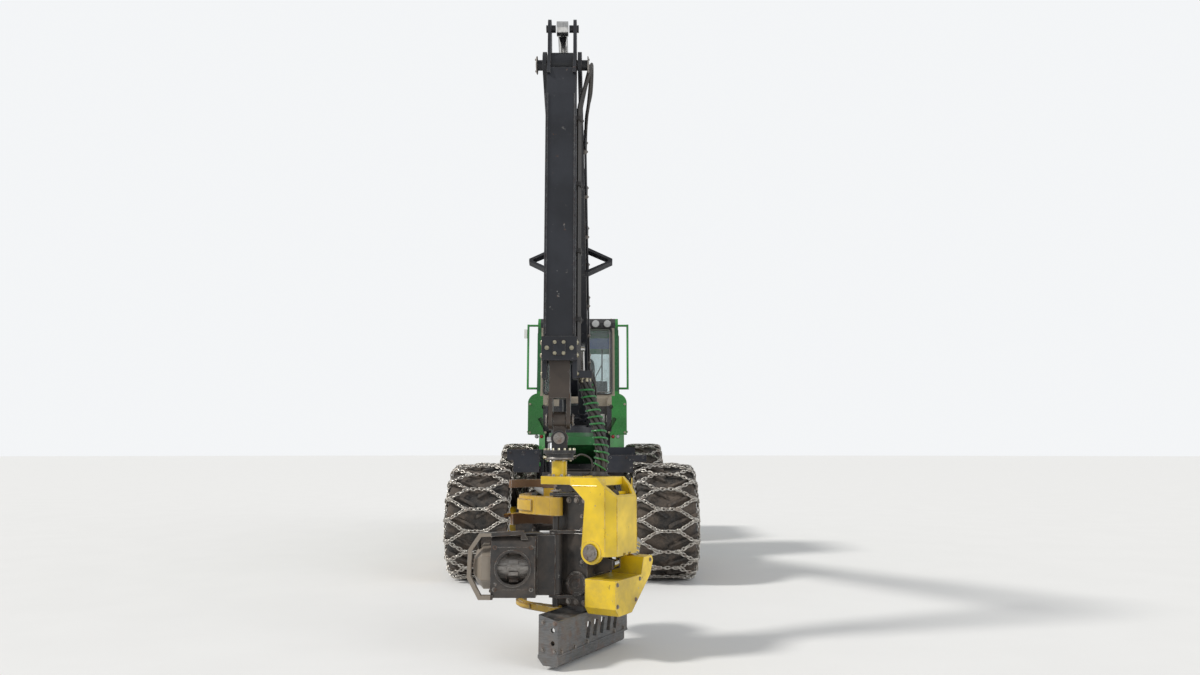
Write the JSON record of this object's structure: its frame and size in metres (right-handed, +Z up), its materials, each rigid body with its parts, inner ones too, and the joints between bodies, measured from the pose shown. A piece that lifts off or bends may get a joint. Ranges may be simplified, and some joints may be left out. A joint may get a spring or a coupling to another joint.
{
  "type": "forestry harvester",
  "caption": "Wheeled forestry harvester: bogie front frame with turning cab and crane, engine rear frame, and a felling head hanging from a telescopic stick.",
  "frame": {"origin": "on the ground under the middle of the whole machine, from the head hanging in front to the tow clevis", "axes": "-Y is the driving direction, +X is the machine's left side, +Z is up"},
  "size_m": [2.992, 10.921, 5.3202],
  "materials": {
    "bare_steel": "worn",
    "black_paint": "satin, worn at the edges",
    "chrome_rod": "polished",
    "engine_grey": "matte",
    "glass": "clear, tinted",
    "green_paint": "satin, dusty",
    "grey_paint": "satin",
    "hose": "matte",
    "lamp": "clear lens",
    "seat": "textile-like",
    "tyre": "matte, dusty",
    "worn_steel": "worn, rusty",
    "yellow_paint": "gloss, scuffed"
  },
  "bodies": {
    "front": {"front_frame": "black_paint", "bogie_boxes": "black_paint", "front_decks": "black_paint", "bumper_pipe": "grey_paint"},
    "crane_saddle": {"tilt_base": "green_paint"},
    "tilt_barrels": {"tilt_barrels": "black_paint"},
    "tilt_rods": {"tilt_rods": "chrome_rod"},
    "crane_pillar": {"slew_pillar": "black_paint"},
    "main_boom": {"main_boom": "black_paint"},
    "lift_barrels": {"lift_barrels": "black_paint"},
    "lift_rods": {"lift_rods": "chrome_rod"},
    "stick": {"stick": "black_paint", "hose_bundle": "hose"},
    "stick_barrel": {"stick_barrel": "black_paint"},
    "stick_rod": {"stick_rod": "chrome_rod"},
    "extension": {"extension": "worn_steel"},
    "hanger_link": {"hanger_link": "bare_steel"},
    "rotator": {"rotator": "grey_paint"},
    "head_hanger": {"head_hanger": "yellow_paint"},
    "head_tilt_barrel": {"head_tilt_barrel": "black_paint"},
    "head_tilt_rod": {"head_tilt_rod": "chrome_rod"},
    "head": {"head_frame": "black_paint", "head_covers": "yellow_paint", "saw_box": "grey_paint"},
    "saw_bar": {"saw_bar": "bare_steel"},
    "cab": {"cab_base": "black_paint", "cab_shell": "green_paint", "cab_glass": "glass", "cab_lamps": "lamp", "cab_seat": "seat"},
    "cab_door": {"cab_door": "green_paint", "cab_door_glass": "glass"},
    "rear": {"rear_frame": "black_paint", "engine": "engine_grey", "hood": "green_paint"},
    "hood_lid": {"hood_lid": "green_paint"},
    "upper_knife_left": {"upper_knife_left": "worn_steel"},
    "feed_arm_left": {"feed_arm_left": "black_paint"},
    "feed_roller_left": {"feed_roller_left": "bare_steel"},
    "lower_knife_left": {"lower_knife_left": "worn_steel"},
    "steer_barrel_left": {"steer_barrel_left": "black_paint"},
    "steer_rod_left": {"steer_rod_left": "chrome_rod"},
    "wheel_front_left_1": {"rim_front_left_1": "yellow_paint", "tyre_front_left_1": "tyre"},
    "wheel_front_left_2": {"rim_front_left_2": "yellow_paint", "tyre_front_left_2": "tyre"},
    "wheel_rear_left": {"rim_rear_left": "yellow_paint", "tyre_rear_left": "tyre"},
    "upper_knife_right": {"upper_knife_right": "worn_steel"},
    "feed_arm_right": {"feed_arm_right": "black_paint"},
    "feed_roller_right": {"feed_roller_right": "bare_steel"},
    "lower_knife_right": {"lower_knife_right": "worn_steel"},
    "steer_barrel_right": {"steer_barrel_right": "black_paint"},
    "steer_rod_right": {"steer_rod_right": "chrome_rod"},
    "wheel_front_right_1": {"rim_front_right_1": "yellow_paint", "tyre_front_right_1": "tyre"},
    "wheel_front_right_2": {"rim_front_right_2": "yellow_paint", "tyre_front_right_2": "tyre"},
    "wheel_rear_right": {"rim_rear_right": "yellow_paint", "tyre_rear_right": "tyre"}
  },
  "joints": [
    {"name": "wheel_front_left_1_spin", "type": "hinge", "parent": "front", "child": "wheel_front_left_1", "pos_m": [1.125, -1.21954, 0.7], "axis": [1, 0, 0], "continuous": true},
    {"name": "wheel_front_left_2_spin", "type": "hinge", "parent": "front", "child": "wheel_front_left_2", "pos_m": [1.125, 0.28046, 0.7], "axis": [1, 0, 0], "continuous": true},
    {"name": "wheel_rear_left_spin", "type": "hinge", "parent": "rear", "child": "wheel_rear_left", "pos_m": [1.125, 3.58046, 0.8525], "axis": [1, 0, 0], "continuous": true},
    {"name": "wheel_front_right_1_spin", "type": "hinge", "parent": "front", "child": "wheel_front_right_1", "pos_m": [-1.125, -1.21954, 0.7], "axis": [1, 0, 0], "continuous": true},
    {"name": "wheel_front_right_2_spin", "type": "hinge", "parent": "front", "child": "wheel_front_right_2", "pos_m": [-1.125, 0.28046, 0.7], "axis": [1, 0, 0], "continuous": true},
    {"name": "wheel_rear_right_spin", "type": "hinge", "parent": "rear", "child": "wheel_rear_right", "pos_m": [-1.125, 3.58046, 0.8525], "axis": [1, 0, 0], "continuous": true},
    {"name": "steering", "type": "hinge", "parent": "front", "child": "rear", "pos_m": [0, 1.63046, 0.98], "axis": [0, 0, 1], "range_deg": [-40, 40]},
    {"name": "crane_tilt", "type": "hinge", "parent": "front", "child": "crane_saddle", "pos_m": [0, -0.31954, 1.45], "axis": [1, 0, 0], "range_deg": [-10, 15]},
    {"name": "crane_slew", "type": "hinge", "parent": "crane_saddle", "child": "crane_pillar", "pos_m": [0, -0.52954, 1.8], "axis": [0, 0, 1], "range_deg": [-110, 110]},
    {"name": "boom_lift", "type": "hinge", "parent": "crane_pillar", "child": "main_boom", "pos_m": [0, -0.34954, 2.42], "axis": [1, 0, 0], "range_deg": [-30, 35]},
    {"name": "stick_fold", "type": "hinge", "parent": "main_boom", "child": "stick", "pos_m": [0, -4.7753, 4.92397], "axis": [-1, 0, 0], "range_deg": [-20, 95]},
    {"name": "telescope", "type": "slide", "parent": "stick", "child": "extension", "axis": [0, 0, -1], "range_m": [0, 1.2]},
    {"name": "link_swing_fore_aft", "type": "hinge", "parent": "extension", "child": "hanger_link", "pos_m": [0, -4.8353, 1.80897], "axis": [1, 0, 0], "range_deg": [-45, 45]},
    {"name": "link_swing_sideways", "type": "hinge", "parent": "hanger_link", "child": "rotator", "pos_m": [0, -4.8353, 1.65897], "axis": [0, 1, 0], "range_deg": [-25, 25], "deforming": ["hose_bundle"]},
    {"name": "rotator_turn", "type": "hinge", "parent": "rotator", "child": "head_hanger", "pos_m": [0, -4.8353, 1.56397], "axis": [0, 0, 1], "continuous": true},
    {"name": "head_tilt", "type": "hinge", "parent": "head_hanger", "child": "head", "pos_m": [0.37239, -5.0503, 0.8], "axis": [-0.5, -0.866, 0], "range_deg": [0, 90]},
    {"name": "upper_knife_left_swing", "type": "hinge", "parent": "head", "child": "upper_knife_left", "pos_m": [0.19343, -4.71026, 1], "axis": [0, 0, -1], "range_deg": [-4, 70]},
    {"name": "upper_knife_right_swing", "type": "hinge", "parent": "head", "child": "upper_knife_right", "pos_m": [-0.01157, -5.06533, 1], "axis": [0, 0, 1], "range_deg": [-4.1, 70.1]},
    {"name": "feed_arm_left_swing", "type": "hinge", "parent": "head", "child": "feed_arm_left", "pos_m": [0.19343, -4.71026, 0.6], "axis": [0, 0, -1], "range_deg": [-34, 8]},
    {"name": "feed_arm_right_swing", "type": "hinge", "parent": "head", "child": "feed_arm_right", "pos_m": [-0.01157, -5.06533, 0.6], "axis": [0, 0, 1], "range_deg": [-34.1, 8.1]},
    {"name": "feed_roller_left_spin", "type": "hinge", "parent": "feed_arm_left", "child": "feed_roller_left", "pos_m": [0.1247, -4.40122, 0.7], "axis": [-0.5, 0.866, 0], "continuous": true},
    {"name": "feed_roller_right_spin", "type": "hinge", "parent": "feed_arm_right", "child": "feed_roller_right", "pos_m": [-0.31357, -5.16033, 0.7], "axis": [-1, 0, 0], "continuous": true},
    {"name": "lower_knife_left_swing", "type": "hinge", "parent": "head", "child": "lower_knife_left", "pos_m": [0.19343, -4.71026, 0.35], "axis": [0, 0, -1], "range_deg": [-4, 70]},
    {"name": "lower_knife_right_swing", "type": "hinge", "parent": "head", "child": "lower_knife_right", "pos_m": [-0.01157, -5.06533, 0.35], "axis": [0, 0, 1], "range_deg": [-4.1, 70.1]},
    {"name": "saw_swing", "type": "hinge", "parent": "head", "child": "saw_bar", "pos_m": [0.40352, -4.60639, 0.13], "axis": [0, 0, -1], "range_deg": [0, 80]},
    {"name": "cab_turn", "type": "hinge", "parent": "front", "child": "cab", "pos_m": [0, 1.13046, 1.4], "axis": [0, 0, 1], "range_deg": [-80, 80]},
    {"name": "cab_door_swing", "type": "hinge", "parent": "cab", "child": "cab_door", "pos_m": [0.624, 1.41446, 2.6], "axis": [0, 0, 1], "range_deg": [0, 75]},
    {"name": "hood_lid_swing", "type": "hinge", "parent": "rear", "child": "hood_lid", "pos_m": [0, 5.15446, 2.4203], "axis": [-1, 0, 0], "range_deg": [0, 45]},
    {"name": "tilt_barrel_swing", "type": "hinge", "parent": "front", "child": "tilt_barrels", "pos_m": [0, -1.02954, 1.02], "axis": [1, 0, 0], "range_deg": [-1.64, 2.46]},
    {"name": "tilt_rod_slide", "type": "slide", "parent": "tilt_barrels", "child": "tilt_rods", "axis": [0, 0.2017, 0.9795], "range_m": [-0.1629, 0.1086]},
    {"name": "lift_barrel_swing", "type": "hinge", "parent": "crane_pillar", "child": "lift_barrels", "pos_m": [0, -0.71954, 2.005], "axis": [1, 0, 0], "range_deg": [-32.19, 37.56]},
    {"name": "lift_rod_slide", "type": "slide", "parent": "lift_barrels", "child": "lift_rods", "axis": [0, -0.8098, 0.5867], "range_m": [-0.3109, 0.2665]},
    {"name": "stick_barrel_swing", "type": "hinge", "parent": "main_boom", "child": "stick_barrel", "pos_m": [0, -2.60022, 4.02657], "axis": [1, 0, 0], "range_deg": [-0.41, 1.94]},
    {"name": "stick_rod_slide", "type": "slide", "parent": "stick_barrel", "child": "stick_rod", "axis": [0, -0.8764, 0.4816], "range_m": [-0.4436, 0.0934]},
    {"name": "head_tilt_barrel_swing", "type": "hinge", "parent": "head_hanger", "child": "head_tilt_barrel", "pos_m": [0.42955, -5.0833, 1.222], "axis": [0.5, 0.866, 0], "range_deg": [-7.87, 0]},
    {"name": "head_tilt_rod_slide", "type": "slide", "parent": "head_tilt_barrel", "child": "head_tilt_rod", "axis": [0, 0, -1], "range_m": [-0.1581, 0]},
    {"name": "steer_left_barrel_swing", "type": "hinge", "parent": "front", "child": "steer_barrel_left", "pos_m": [0.33, 0.78046, 0.98], "axis": [0, 0, 1], "range_deg": [-10.07, 10.07]},
    {"name": "steer_left_rod_slide", "type": "slide", "parent": "steer_barrel_left", "child": "steer_rod_left", "axis": [0.0499, 0.9988, 0], "range_m": [-0.2626, 0.2626]},
    {"name": "steer_right_barrel_swing", "type": "hinge", "parent": "front", "child": "steer_barrel_right", "pos_m": [-0.33, 0.78046, 0.98], "axis": [0, 0, 1], "range_deg": [-10.07, 10.07]},
    {"name": "steer_right_rod_slide", "type": "slide", "parent": "steer_barrel_right", "child": "steer_rod_right", "axis": [-0.0499, 0.9988, 0], "range_m": [-0.2626, 0.2626]}
  ],
  "couplings": [
    {"joint": "upper_knife_right_swing", "follows": "upper_knife_left_swing", "ratio": 1},
    {"joint": "feed_arm_right_swing", "follows": "feed_arm_left_swing", "ratio": 1},
    {"joint": "lower_knife_right_swing", "follows": "lower_knife_left_swing", "ratio": 1},
    {"joint": "tilt_barrel_swing", "follows": "crane_tilt", "ratio": 0.1608},
    {"joint": "tilt_rod_slide", "follows": "crane_tilt", "m_per_rad": -0.61003},
    {"joint": "lift_barrel_swing", "follows": "boom_lift", "ratio": 1.052},
    {"joint": "lift_rod_slide", "follows": "boom_lift", "m_per_rad": -0.49905},
    {"joint": "stick_barrel_swing", "follows": "stick_fold", "ratio": 0.02},
    {"joint": "stick_rod_slide", "follows": "stick_fold", "m_per_rad": -0.26232},
    {"joint": "head_tilt_barrel_swing", "follows": "head_tilt", "ratio": -0.0857},
    {"joint": "head_tilt_rod_slide", "follows": "head_tilt", "m_per_rad": -0.09869},
    {"joint": "steer_left_barrel_swing", "follows": "steering", "ratio": 0.2468},
    {"joint": "steer_left_rod_slide", "follows": "steering", "m_per_rad": 0.36873},
    {"joint": "steer_right_barrel_swing", "follows": "steering", "ratio": 0.2468},
    {"joint": "steer_right_rod_slide", "follows": "steering", "m_per_rad": -0.36873}
  ]
}
